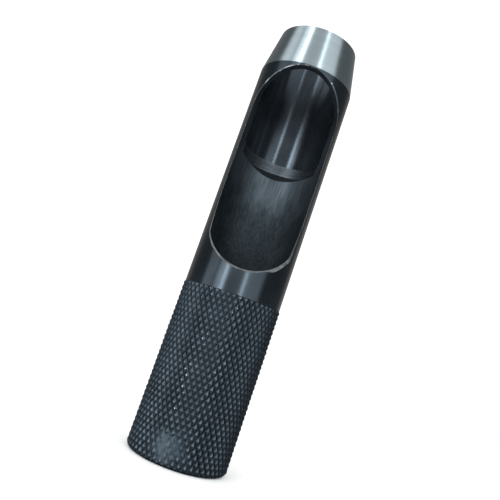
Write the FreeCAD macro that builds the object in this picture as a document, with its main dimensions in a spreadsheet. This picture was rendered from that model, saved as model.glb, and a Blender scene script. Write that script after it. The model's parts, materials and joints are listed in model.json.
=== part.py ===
import FreeCAD, Part

import math
import os

import Sketcher

# A drive hole punch: a bar of tool steel with a knurled grip to hold, a barrel that is
# bored from the cutting end and milled open on one side so that the cut discs fall out,
# and a ground bevel that makes the circular cutting edge. All three are one rigid tool.
#
# Millimetres. Z runs along the tool's axis from the struck face (z = 0) to the cutting
# edge, and the window opens towards -Y.

SIZES = {
    "overall_length": (110.5, "struck face to cutting edge"),
    "grip_length": (40.7, "knurled length, from the struck face"),
    "nose_length": (11.3, "ground bevel, back from the cutting edge"),
    "bore_diameter": (20.0, "hole that the tool cuts"),
    "wall": (2.25, "barrel wall round the bore"),
    "knurl_rise": (0.25, "crest of the knurl above the barrel"),
    "edge_land": (0.25, "wall that is left at the cutting edge"),
    "struck_round": (1.4, "round on the edge of the struck face"),
    "ream_depth": (30.9, "finished bore, from the cutting edge"),
    "drill_depth": (33.7, "full diameter of the drilled hole, from the cutting edge"),
    "ream_allowance": (0.25, "what reaming takes off the drilled wall"),
    "drill_point": (118.0, "included angle of the drill's point, in degrees"),
    "window_gap": (6.0, "plain barrel between the grip and the window"),
    "window_web": (0.3, "plain barrel between the window and the bevel"),
    "window_overcut": (0.75, "window past the bore on each side"),
    "trough_floor": (4.7, "floor of the milled trough past the tool's axis"),
    "scoop_length": (26.8, "part of the trough that rises towards the grip"),
    "scoop_rise": (8.0, "height that the floor gains over that length"),
    "run_out": (1.0, "how far a cutter passes the surface that it starts from"),
}

BORE_RADIUS = "sizes.bore_diameter / 2"
DRILL_RADIUS = f"({BORE_RADIUS} - sizes.ream_allowance)"
BARREL_RADIUS = f"({BORE_RADIUS} + sizes.wall)"
GRIP_RADIUS = f"({BARREL_RADIUS} + sizes.knurl_rise)"
EDGE_RADIUS = f"({BORE_RADIUS} + sizes.edge_land)"
WINDOW_RADIUS = f"({BORE_RADIUS} + sizes.window_overcut)"
BEVEL_BASE = "(sizes.overall_length - sizes.nose_length)"
WINDOW_START = "(sizes.grip_length + sizes.window_gap)"
WINDOW_END = f"({BEVEL_BASE} - sizes.window_web)"
REAM_END = "(sizes.overall_length - sizes.ream_depth)"
DRILL_END = "(sizes.overall_length - sizes.drill_depth)"
SCOOP_RADIUS = "((sizes.scoop_length ^ 2 + sizes.scoop_rise ^ 2) / (2 * sizes.scoop_rise))"

# Where sketches are drawn at first, before their dimensions pull them into place.
ROUGH_RADIUS = 10
ROUGH_LOW = 60
ROUGH_HIGH = 90
ROUGH_REACH = 38

AXIS_OUT = FreeCAD.Vector(0, 0, 1)

doc = FreeCAD.newDocument("drive_hole_punch")


def make_sheet():
    """The driving dimensions: name, value and meaning, one row each."""
    sheet = doc.addObject("Spreadsheet::Sheet", "sizes")
    for row, (name, (value, meaning)) in enumerate(SIZES.items(), start=1):
        sheet.set(f"A{row}", name)
        sheet.set(f"B{row}", str(value))
        sheet.setAlias(f"B{row}", name)
        sheet.set(f"C{row}", meaning)
    doc.recompute()


def make_body(label):
    """An empty body under its own label."""
    body = doc.addObject("PartDesign::Body", label)
    body.Label = label
    return body


def make_sketch(body, name, plane_role, offset=None):
    """A sketch on one of the body's own origin planes, moved along its normal by offset."""
    sketch = body.newObject("Sketcher::SketchObject", name)
    plane = next(p for p in body.Origin.OriginFeatures if p.Role == plane_role)
    sketch.AttachmentSupport = [(plane, "")]
    sketch.MapMode = "FlatFace"
    if offset:
        sketch.setExpression("AttachmentOffset.Base.z", offset)
    return sketch


def bind(sketch, constraint, expression):
    """Add a dimension to a sketch and let the sheet drive it."""
    index = sketch.addConstraint(constraint)
    sketch.setExpression(f"Constraints[{index}]", expression)


def draw_circle(sketch, radius):
    """A circle on the sketch's origin."""
    circle = sketch.addGeometry(Part.Circle(FreeCAD.Vector(), AXIS_OUT, ROUGH_RADIUS), False)
    sketch.addConstraint(Sketcher.Constraint("Coincident", circle, 3, -1, 1))
    bind(sketch, Sketcher.Constraint("Radius", circle, ROUGH_RADIUS), radius)


def draw_polygon(sketch, corners):
    """A closed polygon. A corner is its distance from the axis, None when it is on it, and its height."""
    count = len(corners)
    turns = [2 * math.pi * n / count for n in range(count)]
    rough = [FreeCAD.Vector(ROUGH_RADIUS + math.cos(a), ROUGH_HIGH + math.sin(a), 0) for a in turns]
    for n in range(count):
        sketch.addGeometry(Part.LineSegment(rough[n - 1], rough[n]), False)
    for n, (radius, height) in enumerate(corners):
        sketch.addConstraint(Sketcher.Constraint("Coincident", n, 2, (n + 1) % count, 1))
        if radius is None:
            sketch.addConstraint(Sketcher.Constraint("PointOnObject", n, 2, -2))
        else:
            bind(sketch, Sketcher.Constraint("DistanceX", -1, 1, n, 2, ROUGH_RADIUS), radius)
        bind(sketch, Sketcher.Constraint("DistanceY", -1, 1, n, 2, ROUGH_HIGH), height)


def draw_arch(sketch, centre, low, foot, joint):
    """A half circle over centre, legs down to the height low, and a foot joining the legs."""
    across = FreeCAD.Vector(ROUGH_RADIUS, 0, 0)
    down = FreeCAD.Vector(0, low - centre.y, 0)
    left = centre - across
    right = centre + across
    sketch.addGeometry(Part.ArcOfCircle(Part.Circle(centre, AXIS_OUT, ROUGH_RADIUS), 0, math.pi), False)
    sketch.addGeometry(Part.LineSegment(left, left + down), False)
    sketch.addGeometry(foot, False)
    sketch.addGeometry(Part.LineSegment(right + down, right), False)
    sketch.addConstraint(Sketcher.Constraint("Tangent", 0, 2, 1, 1))
    sketch.addConstraint(Sketcher.Constraint(joint, 1, 2, 2, 1))
    sketch.addConstraint(Sketcher.Constraint(joint, 2, 2, 3, 1))
    sketch.addConstraint(Sketcher.Constraint("Tangent", 3, 2, 0, 1))
    sketch.addConstraint(Sketcher.Constraint("Vertical", 1))
    sketch.addConstraint(Sketcher.Constraint("Vertical", 3))
    sketch.addConstraint(Sketcher.Constraint("PointOnObject", 0, 3, -2))
    bind(sketch, Sketcher.Constraint("Radius", 0, ROUGH_RADIUS), WINDOW_RADIUS)


def add_pad(body, sketch, length, symmetric=False):
    """Extrude a sketch by length, or by half of it each way."""
    pad = body.newObject("PartDesign::Pad", f"{sketch.Name}_pad")
    pad.Profile = sketch
    pad.Midplane = symmetric
    pad.setExpression("Length", length)
    return pad


def edge_at_height(feature, height):
    """The name of the feature's circular edge that lies in the plane z = height."""
    for number, edge in enumerate(feature.Shape.Edges, start=1):
        box = edge.BoundBox
        if max(abs(box.ZMin - height), abs(box.ZMax - height)) < 1e-6:
            return f"Edge{number}"
    raise ValueError(f"no edge at z = {height}")


def make_grip():
    """Solid handle at the knurl's crest, rounded where it is struck, chamfered to the barrel."""
    body = make_body("knurled_grip")
    section = make_sketch(body, "grip_section", "XY_Plane")
    draw_circle(section, GRIP_RADIUS)
    pad = add_pad(body, section, "sizes.grip_length")
    doc.recompute()

    chamfer = body.newObject("PartDesign::Chamfer", "knurl_end")
    chamfer.Base = (pad, [edge_at_height(pad, pad.Length.Value)])
    chamfer.setExpression("Size", "sizes.knurl_rise")
    doc.recompute()

    fillet = body.newObject("PartDesign::Fillet", "struck_edge")
    fillet.Base = (chamfer, [edge_at_height(chamfer, 0)])
    fillet.setExpression("Radius", "sizes.struck_round")
    return body


def make_barrel_blank():
    """Bar between the grip and the bevel, drilled and then reamed from the cutting end."""
    body = make_body("barrel_blank")
    section = make_sketch(body, "barrel_section", "XY_Plane", "sizes.grip_length")
    draw_circle(section, BARREL_RADIUS)
    add_pad(body, section, f"{BEVEL_BASE} - sizes.grip_length")

    profile = make_sketch(body, "bore_profile", "XZ_Plane")
    draw_polygon(
        profile,
        [
            (None, f"{BEVEL_BASE} + sizes.run_out"),
            (BORE_RADIUS, f"{BEVEL_BASE} + sizes.run_out"),
            (BORE_RADIUS, REAM_END),
            (DRILL_RADIUS, REAM_END),
            (DRILL_RADIUS, DRILL_END),
            (None, f"{DRILL_END} - {DRILL_RADIUS} / tan(sizes.drill_point * 1 deg / 2)"),
        ],
    )
    bore = body.newObject("PartDesign::Groove", "bore")
    bore.Profile = profile
    bore.ReferenceAxis = (profile, ["V_Axis"])
    bore.Angle = 360
    return body


def make_window_outline():
    """Block with the window's outline: straight sides and two round ends."""
    body = make_body("window_outline")
    sketch = make_sketch(body, "window_sketch", "XZ_Plane")
    high = FreeCAD.Vector(0, ROUGH_HIGH, 0)
    low = FreeCAD.Vector(0, ROUGH_LOW, 0)
    low_end = Part.ArcOfCircle(Part.Circle(low, AXIS_OUT, ROUGH_RADIUS), math.pi, 2 * math.pi)
    draw_arch(sketch, high, ROUGH_LOW, low_end, "Tangent")
    high_centre = Sketcher.Constraint("DistanceY", -1, 1, 0, 3, ROUGH_HIGH)
    low_centre = Sketcher.Constraint("DistanceY", -1, 1, 2, 3, ROUGH_LOW)
    bind(sketch, high_centre, f"{WINDOW_END} - {WINDOW_RADIUS}")
    bind(sketch, low_centre, f"{WINDOW_START} + {WINDOW_RADIUS}")
    add_pad(body, sketch, f"2 * ({BARREL_RADIUS} + sizes.run_out)", symmetric=True)
    return body


def make_trough():
    """Path of the round-nosed cutter: straight beside the bore, then on an arc that rises towards the grip.

    The section's legs run back to the arc's own axis, so the cutter clears everything in front of the floor.
    """
    body = make_body("trough")
    sketch = make_sketch(body, "trough_section", "XY_Plane", f"{WINDOW_START} + sizes.scoop_length")
    left_foot = FreeCAD.Vector(-ROUGH_RADIUS, -ROUGH_REACH, 0)
    right_foot = FreeCAD.Vector(ROUGH_RADIUS, -ROUGH_REACH, 0)
    draw_arch(sketch, FreeCAD.Vector(), -ROUGH_REACH, Part.LineSegment(left_foot, right_foot), "Coincident")
    sketch.addConstraint(Sketcher.Constraint("Horizontal", 2))
    reach = Sketcher.Constraint("DistanceY", 1, 2, 0, 3, ROUGH_REACH)
    axis_place = Sketcher.Constraint("DistanceY", 1, 2, -1, 1, ROUGH_REACH)
    bind(sketch, reach, f"{SCOOP_RADIUS} - {WINDOW_RADIUS}")
    bind(sketch, axis_place, f"{SCOOP_RADIUS} - sizes.trough_floor")
    add_pad(body, sketch, "sizes.overall_length")

    scoop = body.newObject("PartDesign::Revolution", "scoop")
    scoop.Profile = sketch
    scoop.ReferenceAxis = (sketch, ["Edge3"])
    scoop.Angle = 90
    scoop.Reversed = True
    return body


def make_barrel():
    """The bored blank with its window and trough milled into it."""
    cutter = doc.addObject("Part::Common", "window_cutter")
    cutter.Base = make_window_outline()
    cutter.Tool = make_trough()
    barrel = doc.addObject("Part::Cut", "window_barrel")
    barrel.Label = "window_barrel"
    barrel.Base = make_barrel_blank()
    barrel.Tool = cutter
    return barrel


def make_nose():
    """Ground bevel round the bore, down to the cutting edge."""
    body = make_body("cutting_nose")
    profile = make_sketch(body, "nose_profile", "XZ_Plane")
    draw_polygon(
        profile,
        [
            (BORE_RADIUS, BEVEL_BASE),
            (BARREL_RADIUS, BEVEL_BASE),
            (EDGE_RADIUS, "sizes.overall_length"),
            (BORE_RADIUS, "sizes.overall_length"),
        ],
    )
    ring = body.newObject("PartDesign::Revolution", "bevel")
    ring.Profile = profile
    ring.ReferenceAxis = (profile, ["V_Axis"])
    ring.Angle = 360
    return body


def check_model(sub_parts):
    """Stop if any object failed or a sub-part isn't one valid solid."""
    for item in doc.Objects:
        if "Invalid" in item.State or "Error" in item.State:
            raise RuntimeError(f"{item.Name} failed: {item.State}")
    for item in sub_parts:
        if item.Shape.isNull() or not item.Shape.isValid() or len(item.Shape.Solids) != 1:
            raise RuntimeError(f"{item.Label} is not one valid solid")


def export(sub_parts):
    """Writes one STEP file for each sub-part."""
    os.makedirs("parts", exist_ok=True)
    for item in sub_parts:
        item.Shape.exportStep(f"parts/{item.Label}.step")
        box = item.Shape.BoundBox
        print(f"{item.Label}: {item.Shape.Volume:.0f} mm3, z {box.ZMin:.2f} to {box.ZMax:.2f}")


make_sheet()
SUB_PARTS = [make_grip(), make_barrel(), make_nose()]
doc.recompute()
check_model(SUB_PARTS)
export(SUB_PARTS)
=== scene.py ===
"""Looks for a drive hole punch: a knurled grip, a windowed barrel and a ground cutting nose.

The tool is one turned bar of steel with three finishes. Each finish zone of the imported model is
stood for by a detailed closed mesh of the same size. Lengths are metres and the tool's axis is Z.
"""

import json
import logging
import math
from dataclasses import dataclass, field
from enum import IntEnum

import bmesh
import bpy
import numpy as np
from mathutils import Matrix, Vector


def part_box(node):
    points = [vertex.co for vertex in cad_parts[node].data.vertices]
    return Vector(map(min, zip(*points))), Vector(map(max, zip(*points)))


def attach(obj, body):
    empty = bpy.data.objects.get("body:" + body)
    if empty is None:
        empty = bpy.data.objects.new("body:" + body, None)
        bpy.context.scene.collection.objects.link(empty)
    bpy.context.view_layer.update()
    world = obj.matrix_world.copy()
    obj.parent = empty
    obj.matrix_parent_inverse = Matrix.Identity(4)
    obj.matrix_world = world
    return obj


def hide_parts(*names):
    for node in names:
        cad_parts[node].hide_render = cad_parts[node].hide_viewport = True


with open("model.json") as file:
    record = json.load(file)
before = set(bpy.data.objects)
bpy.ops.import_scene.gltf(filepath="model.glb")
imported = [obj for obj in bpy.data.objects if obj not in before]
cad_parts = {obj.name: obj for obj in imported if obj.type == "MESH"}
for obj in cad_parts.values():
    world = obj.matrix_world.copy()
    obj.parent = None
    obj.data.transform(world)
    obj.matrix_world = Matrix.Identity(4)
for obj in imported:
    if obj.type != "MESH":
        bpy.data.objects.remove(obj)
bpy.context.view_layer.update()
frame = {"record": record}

log = logging.getLogger("hole_punch")

MM = 0.001
TAU = 2.0 * math.pi
BODY = "root"

# Points nearer than the weld become one, and points this near to a plane or an end lie in it.
# Slices are told apart by heights with so many digits.
WELD = 2.0e-7
ON_PLANE = 1.0e-7
AT_END = 1.0e-6
HEIGHT_DIGITS = 8

# The numbers that the knurl keeps at each point.
CREST = "crest"
BRUISED = "bruised"
# The last one marks the row of crests that carry a painted highlight.
GLINT_ROW = "rubbed"

# Black oxide is a thin dull skin on steel: mostly metal to look at, with a little matt black.
OXIDE_METAL = 0.93
QUARTER_TURN = 0.25

# Where the mixing node has its two colours and its mixed colour.
COLOUR_INPUTS = (6, 7)
COLOUR_OUTPUT = 2

Socket = bpy.types.NodeSocket
Material = bpy.types.Material
Colour = tuple[float, float, float, float]
Span = tuple[float, float]


# ---------------------------------------------------------------------------------------------
# Shared helpers
# ---------------------------------------------------------------------------------------------


class Ripple:
    """A smooth repeating wobble, the same on every run."""

    def __init__(self, seed: int, waves: int, falloff: float) -> None:
        """Draws the wobble's amplitudes and phases.

        Args:
            seed: Number that fixes the draw.
            waves: How many whole waves the finest part has in one turn.
            falloff: Power by which finer waves are weaker.
        """
        rng = np.random.default_rng(seed)
        self.order = np.arange(1, waves + 1)
        self.size = rng.normal(size=waves) / self.order**falloff
        self.phase = rng.uniform(0.0, TAU, waves)
        self.scale = 1.0 / math.sqrt(0.5 * float((self.size**2).sum()))

    def at(self, turn: np.ndarray) -> np.ndarray:
        """Reads the wobble.

        Args:
            turn: Places, where 0 and 1 are the same place.

        Returns:
            Heights with a spread of about 1.
        """
        angle = TAU * np.multiply.outer(np.asarray(turn, dtype=float), self.order) + self.phase
        return self.scale * (np.sin(angle) * self.size).sum(axis=-1)


def smooth_step(low: float, high: float, value: np.ndarray) -> np.ndarray:
    """Rises smoothly from 0 at low to 1 at high.

    Args:
        low: Where the rise starts.
        high: Where the rise ends; it may be less than low for a fall.
        value: Places to read.

    Returns:
        Heights between 0 and 1.
    """
    t = np.clip((np.asarray(value, dtype=float) - low) / (high - low), 0.0, 1.0)
    return t * t * (3.0 - 2.0 * t)


def hill(value: np.ndarray, middle: float, reach: float) -> np.ndarray:
    """Gives a smooth hump, 1 at the middle and near 0 at twice the reach."""
    return np.exp(-(((value - middle) / reach) ** 2))


def polar(spot: Vector) -> tuple[float, float]:
    """Gives a point's reach from the axis and its angle from the window's side."""
    return math.hypot(spot.x, spot.y), math.atan2(spot.x, -spot.y)


@dataclass
class MeshMaker:
    """Gathers grids of points into one closed mesh."""

    name: str
    points: list[np.ndarray] = field(default_factory=list)
    faces: list[tuple[int, ...]] = field(default_factory=list)
    zones: list[int] = field(default_factory=list)
    count: int = 0

    def add_points(self, points: np.ndarray) -> np.ndarray:
        """Adds points.

        Args:
            points: Array whose last axis is x, y, z.

        Returns:
            The new points' numbers, in an array of the same outer shape.
        """
        flat = np.asarray(points, dtype=float).reshape(-1, 3)
        numbers = np.arange(self.count, self.count + len(flat)).reshape(points.shape[:-1])
        self.points.append(flat)
        self.count += len(flat)
        return numbers

    def add_grid(self, numbers: np.ndarray, zones: np.ndarray | int) -> None:
        """Adds the quads between the rows and columns of a grid of point numbers.

        Args:
            numbers: Point numbers by row and column.
            zones: Finish zone of each quad, or one zone for all.
        """
        rows, columns = numbers.shape[0] - 1, numbers.shape[1] - 1
        zone = np.broadcast_to(np.asarray(zones), (rows, columns))
        quads = np.stack(
            [numbers[:-1, :-1], numbers[:-1, 1:], numbers[1:, 1:], numbers[1:, :-1]], axis=-1
        )
        self.faces.extend(map(tuple, quads.reshape(-1, 4).tolist()))
        self.zones.extend(zone.reshape(-1).tolist())

    def add_face(self, numbers: np.ndarray, zone: int) -> None:
        """Adds one flat face with many corners."""
        self.faces.append(tuple(int(n) for n in numbers))
        self.zones.append(int(zone))

    def cleaned(self) -> bmesh.types.BMesh:
        """Joins the faces into a mesh without doubled points or empty faces.

        Returns:
            The mesh, with each face's zone as its material number.
        """
        mesh = bpy.data.meshes.new(self.name)
        mesh.from_pydata(np.concatenate(self.points).tolist(), [], self.faces)
        mesh.polygons.foreach_set("material_index", self.zones)
        made = bmesh.new()
        made.from_mesh(mesh)
        bpy.data.meshes.remove(mesh)
        bmesh.ops.remove_doubles(made, verts=made.verts[:], dist=WELD)
        bmesh.ops.dissolve_degenerate(made, edges=made.edges[:], dist=WELD)
        bmesh.ops.recalc_face_normals(made, faces=made.faces[:])
        return made


def finish_mesh(
    made: bmesh.types.BMesh, name: str, materials: list[Material], corner: float
) -> bpy.types.Object:
    """Turns a finished mesh into an object with smooth faces and crisp corners.

    Args:
        made: The mesh, which is freed.
        name: The object's name.
        materials: One material for each zone number.
        corner: Edges that turn by more than this angle stay crisp.

    Returns:
        The object, linked to the scene.
    """
    mesh = bpy.data.meshes.new(name)
    made.to_mesh(mesh)
    made.free()
    for material in materials:
        mesh.materials.append(material)
    mesh.polygons.foreach_set("use_smooth", [True] * len(mesh.polygons))
    mesh.set_sharp_from_angle(angle=corner)
    piece = bpy.data.objects.new(name, mesh)
    bpy.context.scene.collection.objects.link(piece)
    return piece


def open_edges(mesh: bpy.types.Mesh) -> int:
    """Counts the edges that don't have exactly two faces, which a closed solid hasn't.

    Args:
        mesh: The mesh.

    Returns:
        The number of open edges.
    """
    uses = np.zeros(len(mesh.edges), dtype=int)
    edge_of_loop = np.empty(len(mesh.loops), dtype=int)
    mesh.loops.foreach_get("edge_index", edge_of_loop)
    np.add.at(uses, edge_of_loop, 1)
    return int((uses != 2).sum())


# ---------------------------------------------------------------------------------------------
# Finishes
# ---------------------------------------------------------------------------------------------


@dataclass(frozen=True)
class Grain:
    """Soft noise about 0.5: its waves per metre along x, y and z, its seed and its layers."""

    scale: tuple[float, float, float]
    seed: float
    detail: float = 2.0
    rough: float = 0.5
    turn: float = 0.0


class MaterialMaker:
    """Builds one procedural material from short steps."""

    def __init__(self, name: str) -> None:
        """Starts a material with a Principled shader and object coordinates.

        Args:
            name: The material's name.
        """
        self.material = bpy.data.materials.new(name)
        self.material.use_nodes = True
        self.tree = self.material.node_tree
        self.tree.nodes.clear()
        self.shader = self.node("BsdfPrincipled", {})
        self.node("OutputMaterial", {"Surface": self.shader.outputs["BSDF"]})
        self.place = self.node("TexCoord", {}).outputs["Object"]

    def feed(self, target: Socket, value: object) -> None:
        """Sets a socket.

        Args:
            target: The socket.
            value: A number or a colour to set, or another socket to link.
        """
        if isinstance(value, Socket):
            self.tree.links.new(value, target)
        else:
            target.default_value = value

    def node(self, kind: str, inputs: dict[str | int, object], **choices: str) -> bpy.types.Node:
        """Adds a node.

        Args:
            kind: The node's type, without the word that all of them start with.
            inputs: What its inputs get, by name or number.
            choices: The node's own settings.

        Returns:
            The node.
        """
        node = self.tree.nodes.new("ShaderNode" + kind)
        for name, choice in choices.items():
            setattr(node, name, choice)
        for name, value in inputs.items():
            self.feed(node.inputs[name], value)
        return node

    def noise(self, grain: Grain) -> Socket:
        """Gives soft noise in object coordinates.

        Args:
            grain: The noise's waves, seed and layers.

        Returns:
            The noise, about 0.5.
        """
        lean = (0.0, grain.turn, 0.0)
        where = self.node("Mapping", {"Vector": self.place, "Scale": grain.scale, "Rotation": lean})
        inputs = {"Vector": where.outputs[0], "W": grain.seed, "Scale": 1.0}
        inputs |= {"Detail": grain.detail, "Roughness": grain.rough}
        return self.node("TexNoise", inputs, noise_dimensions="4D").outputs["Fac"]

    def band(self, value: Socket, span: Span) -> Socket:
        """Gives 0 before the span, 1 after it and a smooth change between."""
        inputs = {"Value": value, "From Min": span[0], "From Max": span[1]}
        return self.node("MapRange", inputs, interpolation_type="SMOOTHSTEP").outputs["Result"]

    def spread(self, value: Socket, span: Span) -> Socket:
        """Stretches 0 to 1 onto the span."""
        inputs = {"Value": value, "To Min": span[0], "To Max": span[1]}
        return self.node("MapRange", inputs).outputs["Result"]

    def reckon(self, operation: str, first: object, second: object = 0.0) -> Socket:
        """Works out one step of arithmetic."""
        return self.node("Math", {0: first, 1: second}, operation=operation).outputs[0]

    def times(self, first: object, second: object) -> Socket:
        """Multiplies two numbers."""
        return self.reckon("MULTIPLY", first, second)

    def plus(self, first: object, second: object) -> Socket:
        """Adds two numbers."""
        return self.reckon("ADD", first, second)

    def blend(self, first: Socket, share: float, second: Socket) -> Socket:
        """Joins a share of the first number with the rest of the second."""
        return self.plus(self.times(first, share), self.times(second, 1.0 - share))

    def mix(self, amount: object, first: object, second: object) -> Socket:
        """Mixes two colours."""
        inputs = {"Factor": amount, COLOUR_INPUTS[0]: first, COLOUR_INPUTS[1]: second}
        return self.node("Mix", inputs, data_type="RGBA").outputs[COLOUR_OUTPUT]

    def separate(self) -> list[Socket]:
        """Gives the object coordinates' x, y and z."""
        return list(self.node("SeparateXYZ", {0: self.place}).outputs)

    def attribute(self, name: str) -> Socket:
        """Reads a number that the mesh keeps at each point."""
        return self.node("Attribute", {}, attribute_name=name).outputs["Fac"]

    def bump(self, height: Socket, depth: float, under: Socket | None = None) -> Socket:
        """Gives a normal for fine relief.

        Args:
            height: The relief, 0 to 1.
            depth: How deep the relief is, in metres.
            under: A normal that this relief is laid over.

        Returns:
            The new normal.
        """
        inputs = {"Height": height, "Strength": 1.0, "Distance": depth}
        if under is not None:
            inputs["Normal"] = under
        return self.node("Bump", inputs).outputs["Normal"]

    def draw_out(self, amount: float) -> None:
        """Draws highlights out along the tool, as marks that run round it do.

        Args:
            amount: How far, 0 to 1.
        """
        tangent = self.node("Tangent", {}, direction_type="RADIAL", axis="Z")
        self.feed(self.shader.inputs["Tangent"], tangent.outputs[0])
        self.feed(self.shader.inputs["Anisotropic"], amount)
        self.feed(self.shader.inputs["Anisotropic Rotation"], QUARTER_TURN)

    def finish(
        self, colour: Socket, roughness: object, normal: Socket | None, metallic: float
    ) -> Material:
        """Feeds the shader.

        Args:
            colour: Base colour.
            roughness: Roughness, as a number or a socket.
            normal: Normal with the relief, or None where there is none.
            metallic: How much of the surface is metal, 0 to 1.

        Returns:
            The finished material.
        """
        self.feed(self.shader.inputs["Base Color"], colour)
        self.feed(self.shader.inputs["Roughness"], roughness)
        self.feed(self.shader.inputs["Metallic"], metallic)
        if normal is not None:
            self.feed(self.shader.inputs["Normal"], normal)
        return self.material


@dataclass(frozen=True)
class TurnedBlack:
    """Black oxide over fine turning, as on the barrel's outside."""

    name: str = "turned_black"
    dark: Colour = (0.040, 0.051, 0.062, 1.0)
    light: Colour = (0.062, 0.077, 0.090, 1.0)
    rubbed: Colour = (0.130, 0.145, 0.155, 1.0)
    cloud: Grain = Grain((120.0, 120.0, 70.0), 1.0, detail=4.0)
    lines: Grain = Grain((40.0, 40.0, 5200.0), 2.0, detail=3.0, rough=0.6)
    streaks: Grain = Grain((900.0, 900.0, 60.0), 3.0, detail=3.0, turn=0.05)
    waves: Grain = Grain((260.0, 260.0, 190.0), 4.0)
    oxide_span: Span = (0.35, 0.68)
    streak_span: Span = (0.62, 0.74)
    patch_span: Span = (0.50, 0.66)
    rub_strength: float = 0.6
    roughness: Span = (0.22, 0.30)
    line_roughness: float = 0.05
    line_depth: float = 0.8e-6
    wave_depth: float = 14.0e-6
    draw: float = 0.85

    def make(self) -> Material:
        """Builds turning lines, cloudy oxide and a few rubbed streaks.

        Returns:
            The material.
        """
        m = MaterialMaker(self.name)
        cloud, lines = m.noise(self.cloud), m.noise(self.lines)
        streak = m.band(m.noise(self.streaks), self.streak_span)
        rubbed = m.times(streak, m.band(cloud, self.patch_span))
        oxide = m.mix(m.band(cloud, self.oxide_span), self.dark, self.light)
        colour = m.mix(m.times(rubbed, self.rub_strength), oxide, self.rubbed)
        roughness = m.plus(m.spread(cloud, self.roughness), m.times(lines, self.line_roughness))
        waves = m.bump(m.noise(self.waves), self.wave_depth)
        m.draw_out(self.draw)
        return m.finish(colour, roughness, m.bump(lines, self.line_depth, waves), OXIDE_METAL)


@dataclass(frozen=True)
class MilledBlack:
    """Black oxide over a milled trough, with the cutter's streaks along the tool."""

    name: str = "milled_black"
    dark: Colour = (0.040, 0.052, 0.062, 1.0)
    light: Colour = (0.088, 0.104, 0.120, 1.0)
    # The two foot colours are painted shade: the lower trough, towards the handle, is painted
    # darker.
    foot: Colour = (0.023, 0.030, 0.036, 1.0)
    shade_foot_light: Colour = (0.046, 0.057, 0.066, 1.0)
    cloud: Grain = Grain((200.0, 200.0, 110.0), 5.0, detail=4.0)
    streaks: Grain = Grain((2600.0, 2600.0, 90.0), 6.0, detail=3.0, rough=0.55)
    fine: Grain = Grain((9000.0, 9000.0, 9000.0), 7.0, detail=1.0)
    streak_share: float = 0.6
    tone_span: Span = (0.36, 0.64)
    shade_foot_span: Span = (0.38, 0.62)
    shade_end: Span = (68.0 * MM, 77.0 * MM)
    shade_ragged: float = 12.0 * MM
    roughness: Span = (0.40, 0.58)
    streak_depth: float = 5.0e-6
    fine_depth: float = 1.5e-6

    def make(self) -> Material:
        """Builds lengthwise streaks over patchy oxide, with painted shade that darkens the trough
        towards its foot.

        Returns:
            The material.
        """
        m = MaterialMaker(self.name)
        cloud, streaks = m.noise(self.cloud), m.noise(self.streaks)
        tone = m.blend(streaks, self.streak_share, cloud)
        swept = m.mix(m.band(tone, self.tone_span), self.dark, self.light)
        # Painted shade for the trough's foot, mottled by the streaks' tone.
        painted_shade = m.mix(m.band(tone, self.shade_foot_span), self.foot, self.shade_foot_light)
        rise = m.plus(m.separate()[2], m.times(cloud, self.shade_ragged))
        # Below a ragged height the painted shade takes over from the swept colour.
        colour = m.mix(m.band(rise, self.shade_end), painted_shade, swept)
        fine = m.bump(m.noise(self.fine), self.fine_depth)
        normal = m.bump(streaks, self.streak_depth, fine)
        return m.finish(colour, m.spread(tone, self.roughness), normal, OXIDE_METAL)


@dataclass(frozen=True)
class ReamedBlack:
    """Black oxide over a smooth reamed bore."""

    name: str = "reamed_black"
    dark: Colour = (0.045, 0.055, 0.066, 1.0)
    light: Colour = (0.070, 0.084, 0.100, 1.0)
    scuff: Colour = (0.170, 0.180, 0.185, 1.0)
    cloud: Grain = Grain((150.0, 150.0, 90.0), 8.0, detail=3.0)
    rings: Grain = Grain((30.0, 30.0, 3600.0), 9.0, detail=3.0, rough=0.6)
    streaks: Grain = Grain((1500.0, 1500.0, 120.0), 10.0)
    oxide_span: Span = (0.35, 0.65)
    streak_span: Span = (0.72, 0.80)
    patch_span: Span = (0.56, 0.66)
    roughness: Span = (0.21, 0.27)
    ring_roughness: float = 0.02
    ring_depth: float = 0.4e-6
    draw: float = 0.95
    metallic: float = 0.89

    def make(self) -> Material:
        """Builds faint reamer rings and a few scuffs along the bore.

        Returns:
            The material.
        """
        m = MaterialMaker(self.name)
        cloud, rings = m.noise(self.cloud), m.noise(self.rings)
        streak = m.band(m.noise(self.streaks), self.streak_span)
        oxide = m.mix(m.band(cloud, self.oxide_span), self.dark, self.light)
        colour = m.mix(m.times(streak, m.band(cloud, self.patch_span)), oxide, self.scuff)
        roughness = m.plus(m.spread(cloud, self.roughness), m.times(rings, self.ring_roughness))
        m.draw_out(self.draw)
        return m.finish(colour, roughness, m.bump(rings, self.ring_depth), self.metallic)


@dataclass(frozen=True)
class DrilledBlack:
    """Black oxide over the rougher wall that the drill left under the reamed bore."""

    name: str = "drilled_black"
    dark: Colour = (0.045, 0.053, 0.062, 1.0)
    light: Colour = (0.100, 0.112, 0.126, 1.0)
    rings: Grain = Grain((90.0, 90.0, 4200.0), 11.0, detail=3.0, rough=0.65)
    grain: Grain = Grain((2400.0, 2400.0, 3800.0), 12.0)
    ring_share: float = 0.6
    tone_span: Span = (0.38, 0.62)
    roughness: Span = (0.34, 0.52)
    ring_depth: float = 7.0e-6
    grain_depth: float = 4.0e-6

    def make(self) -> Material:
        """Builds strong rings with a grainy surface.

        Returns:
            The material.
        """
        m = MaterialMaker(self.name)
        rings, grain = m.noise(self.rings), m.noise(self.grain)
        tone = m.blend(rings, self.ring_share, grain)
        colour = m.mix(m.band(tone, self.tone_span), self.dark, self.light)
        normal = m.bump(rings, self.ring_depth, m.bump(grain, self.grain_depth))
        return m.finish(colour, m.spread(tone, self.roughness), normal, OXIDE_METAL)


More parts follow.
